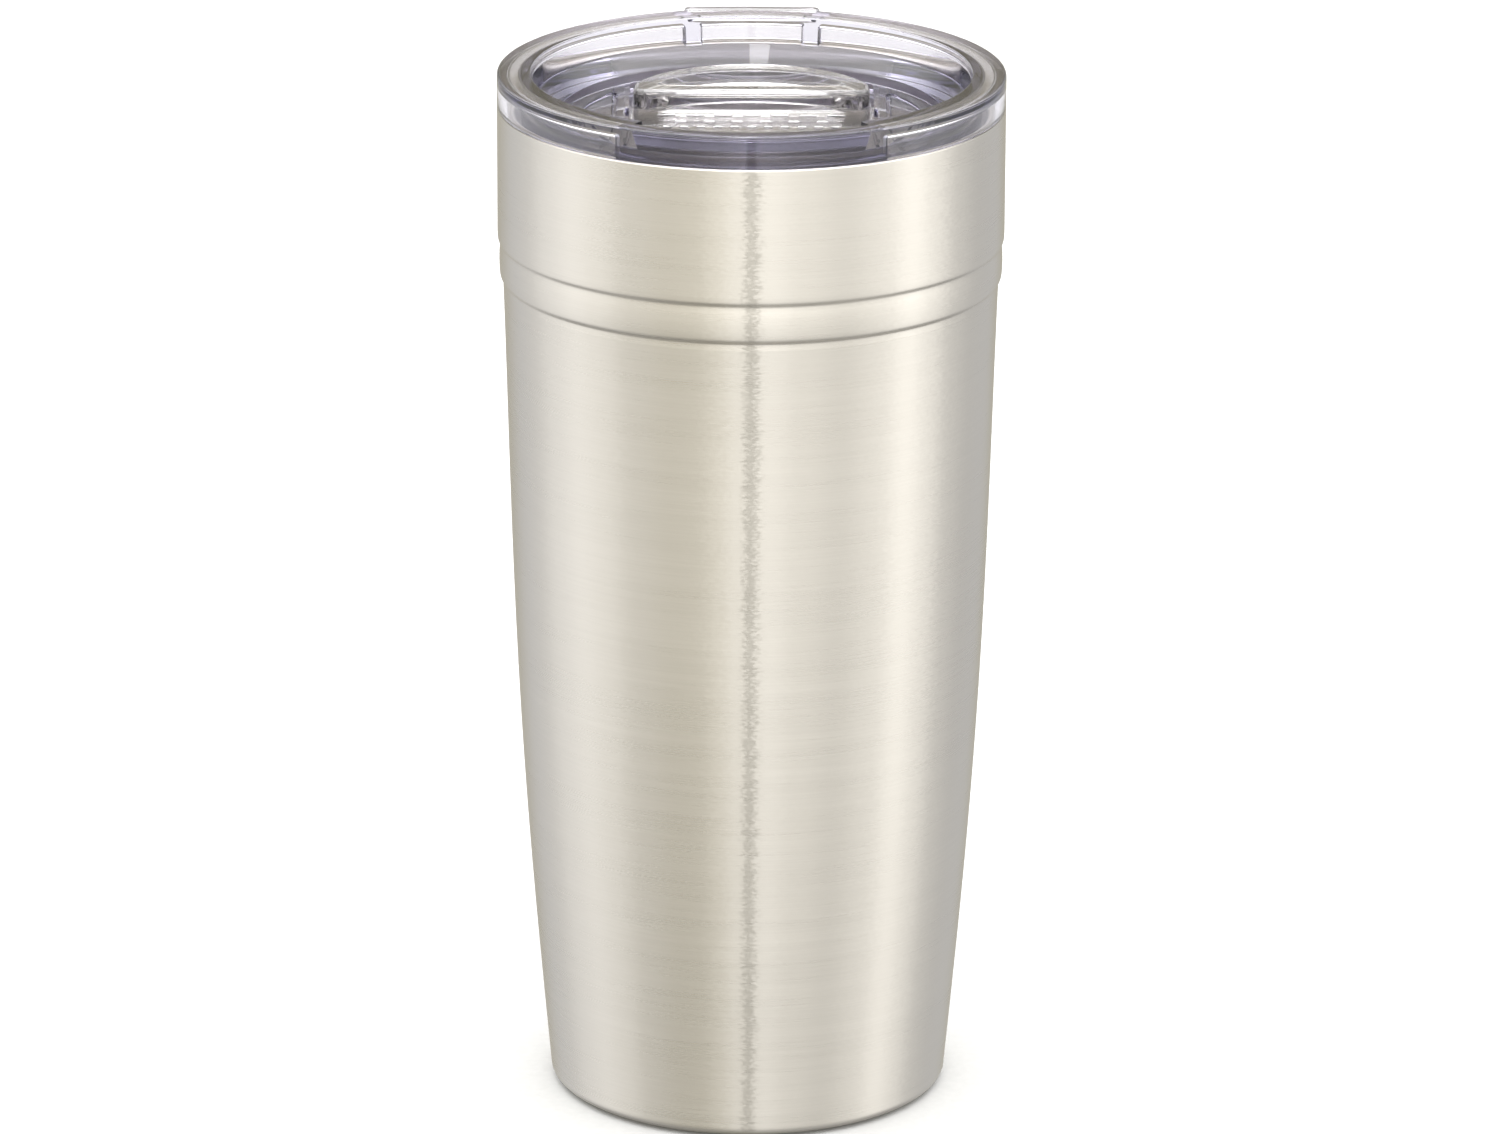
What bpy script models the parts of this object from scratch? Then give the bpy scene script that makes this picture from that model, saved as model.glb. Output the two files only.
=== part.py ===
"""Insulated tumbler with a clear sliding lid.

A vacuum-walled stainless steel tumbler: an outer shell and an inner liner that meet at the lip, a base
disc that closes the vacuum space, and a cover that it stands on. The clear lid plugs the mouth, with a
silicone ring round its skirt, and a slider in its floor uncovers the drinking slot.

Sizes are in millimetres and are turned to metres where vertices are made. +Z is up, the tumbler's axis
is Z, the drinking side is -Y, and the origin is the middle of the face it stands on.
"""
import math

import bmesh
import bpy
import numpy as np
from mathutils import Matrix

MM = 0.001
SEGMENTS = 48                 # facets round every turned piece
GAP = 0.3                     # clearance between pieces that touch
SHEET = 0.5                   # wall of the drawn steel pieces

# Outer shell
BODY_R = 44.0                 # straight neck
LIP_Z = 178.1                 # top of the steel lip
LIP_ROUND = 1.2
NECK_END_Z = 155.8            # the upper rolled step starts here
BAND_R = 43.70                # slightly crowned band between the two steps
BAND_TOP_Z = 152.3
BAND_END_Z = 149.2            # the lower rolled step starts here
TAPER_TOP_Z = 146.5
# Outer radius at heights down the tapering body
TAPER = ((146.5, 43.03), (111.1, 42.00), (75.8, 40.66), (40.4, 38.42), (5.0, 35.36))
TAPER_STATIONS = 6
FOOT_ROUND = 1.8              # corner at the bottom of the shell
FOOT_Z = 0.3                  # the base cover stands this much lower
FOOT_INNER_R = 32.5           # edge of the turned-in foot
WELD_R = 41.85                # seam between shell and liner on the lip

# Inner liner
MOUTH_R = 40.8
JACKET = 3.1                  # from the shell's outer face to the liner's inner face on the taper
LINER_FLOOR_Z = 11.0          # inner floor of the cup
LINER_CORNER = 6.0

FOIL_Z = (138.0, 20.0)        # copper foil round the liner
FOIL_SHEET = 0.05

# Base of the vacuum jacket
BASE_Z = 5.2                  # underside of the base disc
DIMPLE_R = 6.0
DIMPLE_RISE = 1.3
VENT_R = 1.0
COVER_R = 32.1
COVER_SHEET = 0.5
COVER_RIM_Z = 3.9
COVER_ROUND = 1.2

# Getter on the base disc
GETTER_X = 19.0
GETTER_R = 3.6
GETTER_Z = (BASE_Z + SHEET + GAP, BASE_Z + SHEET + GAP + 1.6)
CLIP_SHEET = 0.3
CLIP_W = 3.0
CLIP_FOOT = 3.0

# Lid
LID_TOP_Z = 184.0
COLLAR_Z = LIP_Z + GAP        # underside of the collar
COLLAR_ROUND = 0.8
RIM_INNER_R = 38.2            # inner edge of the collar's flat top
WALL_FOOT_R = 37.0            # where the inner wall meets the sloping ledge
WALL_FOOT_Z = 179.35
LEDGE_R = 33.3
LEDGE_Z = 176.5
FLOOR_Z = 175.0
BEAD_Z = 175.5                # top of the raised D-shaped beads
BEAD_OUTER_R = 31.8
BEAD_INNER_R = 30.3
BEAD_SIDE_X = 23.4            # the bead's width beside the channel
FLOOR_UNDER_Z = 173.0
PLUG_R = 39.8
SKIRT_R = 39.4
SKIRT_INNER_R = 36.2
SKIRT_Z = 166.0
GROOVE_R = 37.9
GROOVE_Z = (168.6, 172.4)
POCKET_R = (39.8, 42.3)       # hollow under the collar
POCKET_TOP_Z = 182.2
BACK_RIB = 15.3               # degrees from the back to the middle of a rib
FRONT_RIB = 30.6              # degrees from the front to the middle of a rib
BACK_RIB_W = 2.8
FRONT_RIB_W = 2.4
LIP_FOOT = (37.2, 179.42)     # radius and height where the drinking lip's slope starts
LIP_EDGE = (40.9, 183.9)      # and where it meets the collar's top
TAB_HALF_W = 12.0             # thumb tab at the back
TAB_REACH = 45.7
TAB_Z = 181.6                 # underside of the tab

# Slider channel in the lid's floor
CHANNEL_HALF_W = 21.3
CHANNEL_R = 33.1
CHANNEL_Z = 172.9
PAN_HALF_W = 24.4
PAN_R = 34.9
PAN_Z = 171.4
TONGUE_GROOVE_X = 22.3
TONGUE_GROOVE_TOP_Z = 174.1
DRINK_HALF_W = 12.0           # drinking slot through the channel's floor
DRINK_R = 32.3                # its front edge follows the channel's end
DRINK_BACK_Y = -26.8
NOTCH_DEPTH = 0.6             # shallow notch in each rail beside the slider
NOTCH_Y = (-0.6, 6.8)
VENT_HOLE_R = 1.2
VENT_HOLE_Y = 15.0

# Slider
SLIDER_HALF_W = 20.9
SLIDER_FRONT_R = 32.8
SLIDER_Z = (173.2, 175.2)
SLIDER_BACK_R = 22.6          # radius of the rounded back, about a centre in front of it
SLIDER_BACK_Y = 4.2
PAD_TOP_Z = 178.6
PAD_FRONT_Y = 7.0
PAD_INSET = 0.3
PAD_ROUND = 1.2
DISH_FRONT_Y = 10.6
DISH_BACK_Y = 20.5
DISH_HALF_W = 17.8
DISH_Z = 176.5
TONGUE_X = 21.9
TONGUE_TOP_Z = 173.8
TONGUE_Y = (-19.0, 14.0)


# ---------------------------------------------------------------- helpers

def clear_scene():
    for old in list(bpy.data.objects):
        bpy.data.objects.remove(old, do_unlink=True)


def material(name, colour, roughness, metallic=0.0, alpha=1.0):
    made = bpy.data.materials.new(name)
    made.use_nodes = True
    shader = made.node_tree.nodes["Principled BSDF"]
    shader.inputs["Base Color"].default_value = (*colour, 1.0)
    shader.inputs["Roughness"].default_value = roughness
    shader.inputs["Metallic"].default_value = metallic
    shader.inputs["Alpha"].default_value = alpha
    return made


def add_object(name, bm, finish):
    """Close the bmesh's doubles, point its faces outwards and put it in the scene."""
    bmesh.ops.remove_doubles(bm, verts=bm.verts, dist=0.00001)
    bmesh.ops.recalc_face_normals(bm, faces=bm.faces)
    mesh = bpy.data.meshes.new(name)
    bm.to_mesh(mesh)
    bm.free()
    mesh.shade_smooth()
    mesh.set_sharp_from_angle(angle=math.radians(30))
    made = bpy.data.objects.new(name, mesh)
    bpy.context.scene.collection.objects.link(made)
    if finish is not None:
        mesh.materials.append(finish)
    return made


def draw_chain(bm, points, closed):
    verts = [bm.verts.new(point) for point in points]
    edges = [bm.edges.new(pair) for pair in zip(verts, verts[1:])]
    if closed:
        edges.append(bm.edges.new((verts[-1], verts[0])))
    return verts + edges


def turned(name, outline, finish=None, closed=True, segments=SEGMENTS):
    """A full turn of an outline of (radius, height). An open outline starts and ends on the axis."""
    bm = bmesh.new()
    chain = draw_chain(bm, [(r * MM, 0, z * MM) for r, z in outline], closed)
    bmesh.ops.spin(bm, geom=chain, cent=(0, 0, 0), axis=(0, 0, 1), angle=2 * math.pi,
                   steps=segments, use_merge=True, use_duplicate=False)
    return add_object(name, bm, finish)


def sector(name, outline, middle, half_angle, steps):
    """Part of a turn of an outline, half_angle each side of middle, in degrees from +X."""
    bm = bmesh.new()
    chain = draw_chain(bm, [(r * MM, 0, z * MM) for r, z in outline], closed=True)
    start = Matrix.Rotation(math.radians(middle - half_angle), 4, "Z")
    bmesh.ops.transform(bm, matrix=start, verts=bm.verts)
    bmesh.ops.spin(bm, geom=chain, cent=(0, 0, 0), axis=(0, 0, 1),
                   angle=math.radians(2 * half_angle), steps=steps, use_duplicate=False)
    bmesh.ops.holes_fill(bm, edges=bm.edges, sides=0)
    return add_object(name, bm, None)


def prism(name, outline, low, high, finish=None, foot_scale=1.0, foot_centre=(0, 0)):
    """An upright block with a plan outline of (x, y). foot_scale draws its lower face in."""
    bm = bmesh.new()
    chain = draw_chain(bm, [(x * MM, y * MM, high * MM) for x, y in outline], closed=True)
    top = bmesh.ops.contextual_create(bm, geom=chain)["faces"]
    grown = bmesh.ops.extrude_face_region(bm, geom=top, use_keep_orig=True)["geom"]
    foot = [item for item in grown if isinstance(item, bmesh.types.BMVert)]
    bmesh.ops.translate(bm, vec=(0, 0, (low - high) * MM), verts=foot)
    centre = Matrix.Translation((-foot_centre[0] * MM, -foot_centre[1] * MM, 0))
    bmesh.ops.scale(bm, vec=(foot_scale, foot_scale, 1), space=centre, verts=foot)
    return add_object(name, bm, finish)


def arc(radius, start, end, steps, centre=(0, 0)):
    """Points along an arc of a circle, from one angle to another, in degrees from +X."""
    angles = [math.radians(start + (end - start) * step / steps) for step in range(steps + 1)]
    return [(centre[0] + radius * math.cos(a), centre[1] + radius * math.sin(a)) for a in angles]


def strip_in_circle(half_width, radius, steps=12):
    """Plan outline of the part of a circle between two lines x = -half_width and x = half_width."""
    side = math.degrees(math.acos(half_width / radius))
    return arc(radius, side, 180 - side, steps) + arc(radius, 180 + side, 360 - side, steps)


def segment_of_circle(side_x, radius, steps=10):
    """Plan outline of the part of a circle beyond the line x = side_x."""
    side = math.degrees(math.acos(side_x / radius))
    return arc(radius, -side, side, steps)


def rectangle(low_x, high_x, low_y, high_y):
    return [(low_x, low_y), (high_x, low_y), (high_x, high_y), (low_x, high_y)]


def mirrored(outline):
    return [(-x, y) for x, y in reversed(outline)]


def combine(body, cutter, operation):
    """Cut or join with a second object, which stays as a hidden guide."""
    cutter.hide_render = True
    cutter.display_type = "WIRE"
    step = body.modifiers.new(cutter.name, "BOOLEAN")
    step.operation = operation
    step.solver = "EXACT"
    step.object = cutter


def cut(body, cutter):
    combine(body, cutter, "DIFFERENCE")


def join(body, cutter):
    combine(body, cutter, "UNION")


# ---------------------------------------------------------------- steel body

TAPER_CURVE = np.polyfit([z for z, r in TAPER], [r for z, r in TAPER], 3)


def taper_radius(z):
    return float(np.polyval(TAPER_CURVE, z))


def taper_heights(low, high):
    return [float(z) for z in np.linspace(high, low, TAPER_STATIONS)]


def make_outer_shell(steel):
    """The drawn outer wall, with its turned-in lip, two rolled steps and turned-in foot."""
    foot_corner_z = FOOT_Z + FOOT_ROUND
    foot_r = taper_radius(foot_corner_z)
    lip = arc(LIP_ROUND, 90, 0, 3, (BODY_R - LIP_ROUND, LIP_Z - LIP_ROUND))
    outer = [(WELD_R + GAP / 2, LIP_Z)] + lip
    outer += [(BODY_R, NECK_END_Z), (BAND_R - 0.15, BAND_TOP_Z + 1.0), (BAND_R, BAND_TOP_Z)]
    outer += [(BAND_R, BAND_END_Z), (taper_radius(TAPER_TOP_Z), TAPER_TOP_Z + 0.4)]
    outer += [(taper_radius(z), z) for z in taper_heights(foot_corner_z, TAPER_TOP_Z - 1.0)]
    outer += arc(FOOT_ROUND, -30, -90, 2, (foot_r - FOOT_ROUND, foot_corner_z))
    outer += [(FOOT_INNER_R, FOOT_Z)]
    foot_inside = [(FOOT_INNER_R, FOOT_Z + SHEET), (foot_r - FOOT_ROUND, FOOT_Z + SHEET)]
    wall_inside = [(taper_radius(z) - SHEET, z) for z in taper_heights(foot_corner_z, TAPER_TOP_Z - 1.0)]
    neck_inside = [(BAND_R - SHEET, BAND_TOP_Z), (BODY_R - SHEET, NECK_END_Z)]
    neck_inside += [(BODY_R - SHEET, LIP_Z - LIP_ROUND), (BODY_R - LIP_ROUND, LIP_Z - SHEET)]
    inner = foot_inside + wall_inside[::-1] + neck_inside + [(WELD_R + GAP / 2, LIP_Z - SHEET)]
    return turned("outer_shell", outer + inner, steel)


def liner_radius(z):
    """Inner radius of the liner: parallel to the shell on the taper, near straight in the neck."""
    narrow = taper_radius(TAPER_TOP_Z) - JACKET
    if z >= TAPER_TOP_Z:
        rise = (z - TAPER_TOP_Z) / (LIP_Z - TAPER_TOP_Z)
        return narrow + (MOUTH_R - narrow) * min(1.0, 1.6 * rise)
    return taper_radius(z) - JACKET


def make_inner_liner(steel):
    """The drawn cup that holds the drink, with a narrow flange that meets the shell on the lip."""
    corner_z = LINER_FLOOR_Z + LINER_CORNER
    floor_r = liner_radius(corner_z) - LINER_CORNER
    wall = [(liner_radius(z), z) for z in (LIP_Z - 1.5, 168.0, 157.0)]
    wall += [(liner_radius(z), z) for z in taper_heights(corner_z, TAPER_TOP_Z)]
    inside = [(MOUTH_R + 0.5, LIP_Z)] + wall
    inside += arc(LINER_CORNER, 0, -90, 4, (floor_r, corner_z))[1:] + [(0, LINER_FLOOR_Z)]
    outside = [(0, LINER_FLOOR_Z - SHEET)]
    outside += arc(LINER_CORNER + SHEET, -90, 0, 4, (floor_r, corner_z))
    outside += [(r + SHEET, z) for r, z in wall[-2::-1]]
    outside[-1] = (MOUTH_R + SHEET, LIP_Z - 1.9)
    outside += [(WELD_R - GAP / 2, LIP_Z - SHEET), (WELD_R - GAP / 2, LIP_Z)]
    return turned("inner_liner", (inside + outside)[::-1], steel)


def make_vacuum_base(steel):
    """The disc that closes the vacuum space, with a dimple and the evacuation hole in it."""
    rim_z = FOOT_Z + FOOT_ROUND + 0.4
    rim_r = taper_radius(rim_z) - SHEET - GAP
    top = BASE_Z + SHEET
    outline = [(VENT_R, BASE_Z + DIMPLE_RISE), (DIMPLE_R - 1.5, BASE_Z + DIMPLE_RISE)]
    outline += [(DIMPLE_R, BASE_Z), (rim_r - SHEET, BASE_Z), (rim_r - SHEET, rim_z), (rim_r, rim_z)]
    outline += [(rim_r, top - 0.4), (rim_r - 0.6, top), (DIMPLE_R + 0.4, top)]
    outline += [(DIMPLE_R - 1.1, top + DIMPLE_RISE), (VENT_R, top + DIMPLE_RISE)]
    return turned("vacuum_base", outline, steel)


def make_vent_seal(braze):
    """The bead in the dimple that closes the evacuation hole after the air is drawn out."""
    top = BASE_Z + DIMPLE_RISE - GAP
    outline = [(0, top), (DIMPLE_R - 2.0, top), (DIMPLE_R - 1.2, top - 0.7)]
    outline += [(2.5, top - 1.1), (0, top - 1.2)]
    return turned("vent_seal", outline, braze, closed=False, segments=24)


def make_getter(dark_grey):
    """The pellet that takes up the last gas in the vacuum space."""
    outline = [(0, GETTER_Z[1]), (GETTER_R - 0.3, GETTER_Z[1]), (GETTER_R, GETTER_Z[1] - 0.3)]
    outline += [(GETTER_R, GETTER_Z[0]), (0, GETTER_Z[0])]
    made = turned("getter", outline, dark_grey, closed=False, segments=24)
    made.location = (GETTER_X * MM, 0, 0)
    return made


def make_getter_clip(steel):
    """The bent strip, spot-welded to the base disc at both ends, that holds the getter."""
    half = GETTER_R + GAP
    foot = half + CLIP_FOOT
    low = GETTER_Z[0]
    high = GETTER_Z[1] + GAP
    strip = CLIP_SHEET
    side = [(-foot, low), (-half - strip, low), (-half - strip, high), (half + strip, high)]
    side += [(half + strip, low), (foot, low), (foot, low + strip), (half + 2 * strip, low + strip)]
    side += [(half + 2 * strip, high + strip), (-half - 2 * strip, high + strip)]
    side += [(-half - 2 * strip, low + strip), (-foot, low + strip)]
    bm = bmesh.new()
    chain = draw_chain(bm, [((GETTER_X - CLIP_W / 2) * MM, y * MM, z * MM) for y, z in side], closed=True)
    face = bmesh.ops.contextual_create(bm, geom=chain)["faces"]
    grown = bmesh.ops.extrude_face_region(bm, geom=face, use_keep_orig=True)["geom"]
    far = [item for item in grown if isinstance(item, bmesh.types.BMVert)]
    bmesh.ops.translate(bm, vec=(CLIP_W * MM, 0, 0), verts=far)
    return add_object("getter_clip", bm, steel)


def make_radiation_foil(copper):
    """Copper foil wrapped round the liner inside the vacuum space, which cuts radiated heat."""
    heights = [float(z) for z in np.linspace(*FOIL_Z, 4)]
    clear = SHEET + GAP
    outer = [(liner_radius(z) + clear + FOIL_SHEET, z) for z in heights]
    inner = [(liner_radius(z) + clear, z) for z in heights[::-1]]
    return turned("radiation_foil", outer + inner, copper)


def make_base_cover(steel):
    """The pressed disc that closes the bottom, and that the tumbler stands on."""
    outside = [(COVER_R, COVER_RIM_Z)] + arc(COVER_ROUND, 0, -90, 3, (COVER_R - COVER_ROUND, COVER_ROUND))
    inner_r = COVER_R - COVER_SHEET
    inside = [(0, COVER_SHEET), (inner_r - 0.9, COVER_SHEET), (inner_r, COVER_SHEET + 0.9)]
    outline = outside + [(0, 0)] + inside + [(inner_r, COVER_RIM_Z)]
    return turned("base_cover", outline, steel)


# ---------------------------------------------------------------- lid

def lid_outline():
    """Half section of the lid, from its middle out over the top and back under the floor."""
    top = arc(COLLAR_ROUND, 90, 0, 2, (BODY_R - COLLAR_ROUND, LID_TOP_Z - COLLAR_ROUND))
    outline = [(0, BEAD_Z), (BEAD_OUTER_R - 0.2, BEAD_Z), (BEAD_OUTER_R, FLOOR_Z), (LEDGE_R, FLOOR_Z)]
    outline += [(LEDGE_R, LEDGE_Z), (WALL_FOOT_R, WALL_FOOT_Z), (RIM_INNER_R, LID_TOP_Z - 0.6)]
    outline += [(RIM_INNER_R + 0.6, LID_TOP_Z)] + top + [(BODY_R, COLLAR_Z), (PLUG_R, COLLAR_Z)]
    outline += [(PLUG_R, GROOVE_Z[1]), (GROOVE_R, GROOVE_Z[1]), (GROOVE_R, GROOVE_Z[0])]
    outline += [(SKIRT_R, GROOVE_Z[0]), (SKIRT_R, SKIRT_Z + 0.8), (SKIRT_R - 0.8, SKIRT_Z)]
    outline += [(SKIRT_INNER_R + 0.3, SKIRT_Z), (SKIRT_INNER_R, FLOOR_UNDER_Z + 1.4)]
    outline += [(SKIRT_INNER_R - 2.7, FLOOR_UNDER_Z), (0, FLOOR_UNDER_Z)]
    return outline


def make_lid_body(clear):
    """The clear moulded lid: hollow collar on the lip, plug with a skirt, and a recessed floor."""
    lid = turned("lid_body", lid_outline(), clear, closed=False)
    tab = [(-TAB_HALF_W, 43.0), (-TAB_HALF_W, 44.6), (-TAB_HALF_W + 1.5, TAB_REACH - 0.2)]
    tab += [(0, TAB_REACH), (TAB_HALF_W - 1.5, TAB_REACH - 0.2), (TAB_HALF_W, 44.6), (TAB_HALF_W, 43.0)]
    join(lid, prism("tab_form", tab, TAB_Z, LID_TOP_Z - 0.1))
    join(lid, prism("pan_form", strip_in_circle(PAN_HALF_W, PAN_R), PAN_Z, FLOOR_UNDER_Z + 0.4))
    pocket = [(POCKET_R[0], COLLAR_Z - 1), (POCKET_R[1], COLLAR_Z - 1)]
    pocket += [(POCKET_R[1], POCKET_TOP_Z - 0.6), (POCKET_R[1] - 0.6, POCKET_TOP_Z)]
    pocket += [(POCKET_R[0] + 0.2, POCKET_TOP_Z)]
    back_rib_half = math.degrees(BACK_RIB_W / 2 / POCKET_R[1])
    front_rib_half = math.degrees(FRONT_RIB_W / 2 / POCKET_R[1])
    cut(lid, sector("back_pocket", pocket, 90, BACK_RIB - back_rib_half, 6))
    side_start = 90 - BACK_RIB - back_rib_half
    side_end = FRONT_RIB + front_rib_half - 90
    side_half = (side_start - side_end) / 2
    side_middle = (side_start + side_end) / 2
    cut(lid, sector("right_pocket", pocket, side_middle, side_half, 24))
    cut(lid, sector("left_pocket", pocket, 180 - side_middle, side_half, 24))
    spout = [(WALL_FOOT_R - 2, LIP_FOOT[1]), LIP_FOOT, LIP_EDGE]
    spout += [(LIP_EDGE[0] + 0.1, LID_TOP_Z + 1), (WALL_FOOT_R - 2, LID_TOP_Z + 1)]
    cut(lid, sector("spout_form", spout, -90, FRONT_RIB - front_rib_half, 10))
    dee = segment_of_circle(BEAD_SIDE_X, BEAD_INNER_R)
    cut(lid, prism("right_dee", dee, FLOOR_Z, BEAD_Z + 0.5))
    cut(lid, prism("left_dee", mirrored(dee), FLOOR_Z, BEAD_Z + 0.5))
    cut(lid, prism("channel", strip_in_circle(CHANNEL_HALF_W, CHANNEL_R), CHANNEL_Z, BEAD_Z + 0.5))
    groove = rectangle(-TONGUE_GROOVE_X, TONGUE_GROOVE_X, -23.5, 23.5)
    cut(lid, prism("tongue_groove", groove, CHANNEL_Z - 0.05, TONGUE_GROOVE_TOP_Z))
    notch = rectangle(-CHANNEL_HALF_W - NOTCH_DEPTH, CHANNEL_HALF_W + NOTCH_DEPTH, *NOTCH_Y)
    cut(lid, prism("rail_notch", notch, TONGUE_GROOVE_TOP_Z - 0.2, BEAD_Z + 0.4))
    slot_side = math.degrees(math.asin(DRINK_HALF_W / DRINK_R))
    slot = arc(DRINK_R, 270 - slot_side, 270 + slot_side, 8)
    slot += [(DRINK_HALF_W, DRINK_BACK_Y), (-DRINK_HALF_W, DRINK_BACK_Y)]
    cut(lid, prism("drinking_slot", slot, PAN_Z - 1, CHANNEL_Z + 1))
    vent = arc(VENT_HOLE_R, 0, 330, 11, (0, VENT_HOLE_Y))
    cut(lid, prism("vent_hole", vent, PAN_Z - 1, CHANNEL_Z + 1))
    return lid


def make_lid_gasket(silicone):
    """The ring in the skirt's groove, with one soft lip towards the liner."""
    low = GROOVE_Z[0] + GAP
    high = GROOVE_Z[1] - GAP
    inner_r = GROOVE_R + GAP
    outline = [(inner_r, high), (39.6, high), (39.7, 171.0), (40.35, 170.6), (40.35, 170.1), (39.7, 169.7)]
    outline += [(39.6, low), (inner_r, low)]
    return turned("lid_gasket", outline, silicone)


# ---------------------------------------------------------------- slider

def slider_back(inset, steps=12):
    """The rounded back of the slider, from its right side round to its left side."""
    radius = SLIDER_BACK_R - inset
    half = SLIDER_HALF_W - inset
    side = math.degrees(math.acos(half / radius))
    return arc(radius, side, 180 - side, steps, (0, SLIDER_BACK_Y))


def make_slider(clear):
    """The sliding closure: a flat plate with side tongues and a raised, dished thumb pad."""
    front = math.degrees(math.acos(SLIDER_HALF_W / SLIDER_FRONT_R))
    plate = slider_back(0) + arc(SLIDER_FRONT_R, 180 + front, 360 - front, 10)
    slider = prism("slider", plate, SLIDER_Z[0], SLIDER_Z[1], clear)
    half = SLIDER_HALF_W - PAD_INSET
    pad = slider_back(PAD_INSET) + [(-half, PAD_FRONT_Y), (half, PAD_FRONT_Y)]
    pad_form = prism("pad_form", pad, SLIDER_Z[1] - 0.6, PAD_TOP_Z)
    rounded = pad_form.modifiers.new("rounded top", "BEVEL")
    rounded.width = PAD_ROUND * MM
    rounded.segments = 2
    rounded.limit_method = "ANGLE"
    rounded.angle_limit = math.radians(60)
    join(slider, pad_form)
    dish_r = (DISH_HALF_W ** 2 + (DISH_BACK_Y - DISH_FRONT_Y) ** 2) / (2 * (DISH_BACK_Y - DISH_FRONT_Y))
    dish_side = math.degrees(math.acos(DISH_HALF_W / dish_r))
    dish = arc(dish_r, dish_side, 180 - dish_side, 12, (0, DISH_BACK_Y - dish_r))
    dish_middle = (0, (DISH_FRONT_Y + DISH_BACK_Y) / 2)
    cut(slider, prism("dish", dish, DISH_Z, PAD_TOP_Z + 0.5, foot_scale=0.8, foot_centre=dish_middle))
    tongue = rectangle(-TONGUE_X, TONGUE_X, *TONGUE_Y)
    join(slider, prism("tongues", tongue, SLIDER_Z[0] + 0.05, TONGUE_TOP_Z))
    return slider


# ---------------------------------------------------------------- the tumbler

def main():
    clear_scene()
    brushed = material("brushed_steel", (0.72, 0.70, 0.66), 0.35, 1.0)
    bright = material("bright_steel", (0.75, 0.74, 0.71), 0.2, 1.0)
    sheet = material("plain_steel", (0.6, 0.6, 0.58), 0.45, 1.0)
    clear = material("clear_plastic", (0.86, 0.86, 0.93), 0.05, 0.0, 0.35)
    slider_clear = material("clear_plastic_slider", (0.90, 0.89, 0.90), 0.05, 0.0, 0.35)
    silicone = material("silicone", (0.80, 0.80, 0.80), 0.5)
    copper = material("copper_foil", (0.75, 0.42, 0.28), 0.3, 1.0)
    braze = material("braze", (0.66, 0.58, 0.40), 0.5, 1.0)
    pellet = material("getter_pellet", (0.20, 0.20, 0.21), 0.8)

    tumbler = bpy.data.objects.new("tumbler_base", None)
    lid = bpy.data.objects.new("lid_lift", None)
    slide = bpy.data.objects.new("slider_slide", None)
    for holder in (tumbler, lid, slide):
        bpy.context.scene.collection.objects.link(holder)
    lid.parent = tumbler
    slide.parent = lid

    groups = {
        tumbler: [make_outer_shell(brushed), make_inner_liner(bright), make_vacuum_base(sheet),
                  make_vent_seal(braze), make_getter(pellet), make_getter_clip(sheet),
                  make_radiation_foil(copper), make_base_cover(brushed)],
        lid: [make_lid_body(clear), make_lid_gasket(silicone)],
        slide: [make_slider(slider_clear)],
    }
    for holder, pieces in groups.items():
        for piece in pieces:
            piece.parent = holder


main()
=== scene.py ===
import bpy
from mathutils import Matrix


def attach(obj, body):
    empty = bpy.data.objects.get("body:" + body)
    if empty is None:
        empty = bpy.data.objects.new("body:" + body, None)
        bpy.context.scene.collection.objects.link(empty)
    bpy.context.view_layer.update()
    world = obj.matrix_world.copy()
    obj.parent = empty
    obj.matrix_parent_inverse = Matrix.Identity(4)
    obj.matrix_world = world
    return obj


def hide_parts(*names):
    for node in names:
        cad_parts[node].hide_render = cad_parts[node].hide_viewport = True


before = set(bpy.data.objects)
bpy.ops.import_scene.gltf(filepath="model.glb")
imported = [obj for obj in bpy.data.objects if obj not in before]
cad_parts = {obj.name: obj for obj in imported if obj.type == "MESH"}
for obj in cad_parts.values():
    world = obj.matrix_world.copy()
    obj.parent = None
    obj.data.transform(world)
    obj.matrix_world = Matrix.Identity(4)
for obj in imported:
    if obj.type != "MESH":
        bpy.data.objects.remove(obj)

"""Looks of the insulated tumbler: brushed steel body, clear lid with a sliding closure.

Outlines are in millimetres, as (radius, height) for a turned piece and (x, y) for a moulded one, and are
turned to metres where vertices are made. The tumbler's axis is Z and the drinking side is -Y.
"""
import math

import bmesh
import bpy
from mathutils import Matrix, Vector

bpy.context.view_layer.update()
MM = 0.001
ROUND = 240                   # facets round a turned steel piece
LID_ROUND = 192               # facets round the lid

# ---------------------------------------------------------------- camera

# A long lens, a little above the rim
CAMERA_PLACE = (0, -1.45463, 0.56424)
CAMERA_TURN = (72.0856, -0.2416, 0.0338)      # degrees about X, Y and Z
LENS_MM = 207.06
SENSOR_MM = 36.0


def add_camera():
    data = bpy.data.cameras.new("studio_camera")
    data.lens = LENS_MM
    data.sensor_width = SENSOR_MM
    data.clip_end = 50
    camera = bpy.data.objects.new("studio_camera", data)
    camera.location = CAMERA_PLACE
    camera.rotation_euler = [math.radians(turn) for turn in CAMERA_TURN]
    bpy.context.scene.collection.objects.link(camera)
    bpy.context.scene.camera = camera


# ---------------------------------------------------------------- mesh helpers

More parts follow.
